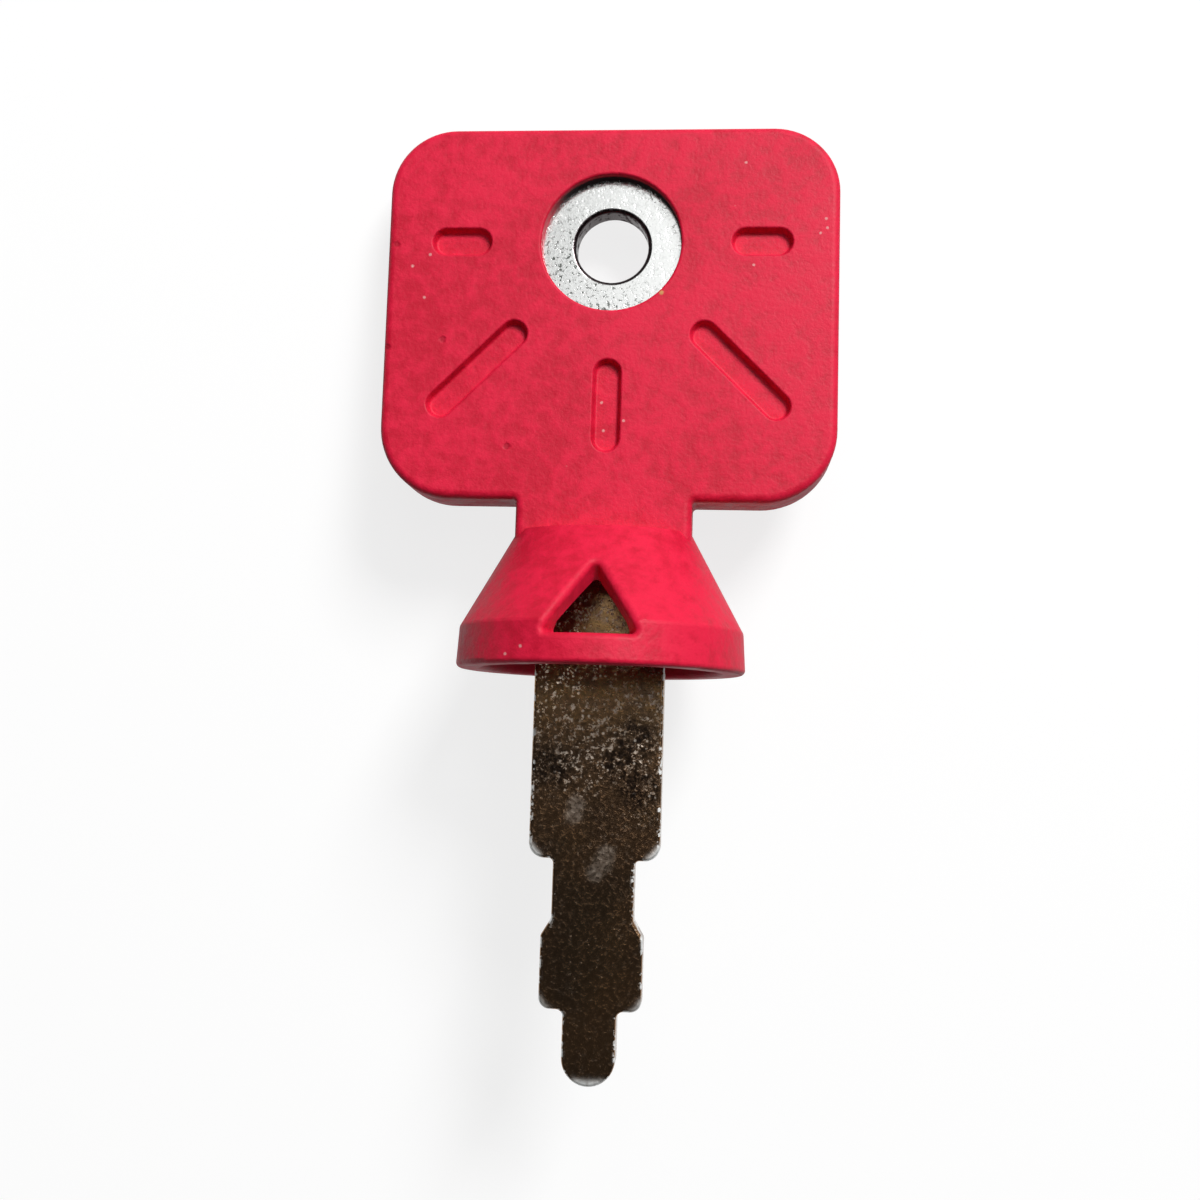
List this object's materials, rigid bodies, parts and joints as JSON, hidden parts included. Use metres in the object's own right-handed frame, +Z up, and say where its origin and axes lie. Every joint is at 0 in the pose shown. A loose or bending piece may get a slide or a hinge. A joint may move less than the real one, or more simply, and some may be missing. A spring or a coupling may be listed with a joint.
{
  "type": "lawn mower ignition key",
  "caption": "Flat ignition key for a ride-on mower: stepped steel blade in a moulded head with debossed rays, a ring hole and a flared bell-shaped skirt.",
  "frame": {"origin": "bottom centre of the key's bounding box, on the floor it lies on", "axes": "+Z up, +Y from blade tip to head, +X to the right seen from above with the head away; the key lies at its natural rest, tilted 12 degrees about X with its head down"},
  "size_m": [0.0336, 0.0684, 0.0207],
  "materials": {
    "blade": "nickel plated, worn and speckled",
    "head": "fine moulded grain"
  },
  "bodies": {
    "root": {"blade": "blade", "head": "head"}
  },
  "joints": []
}
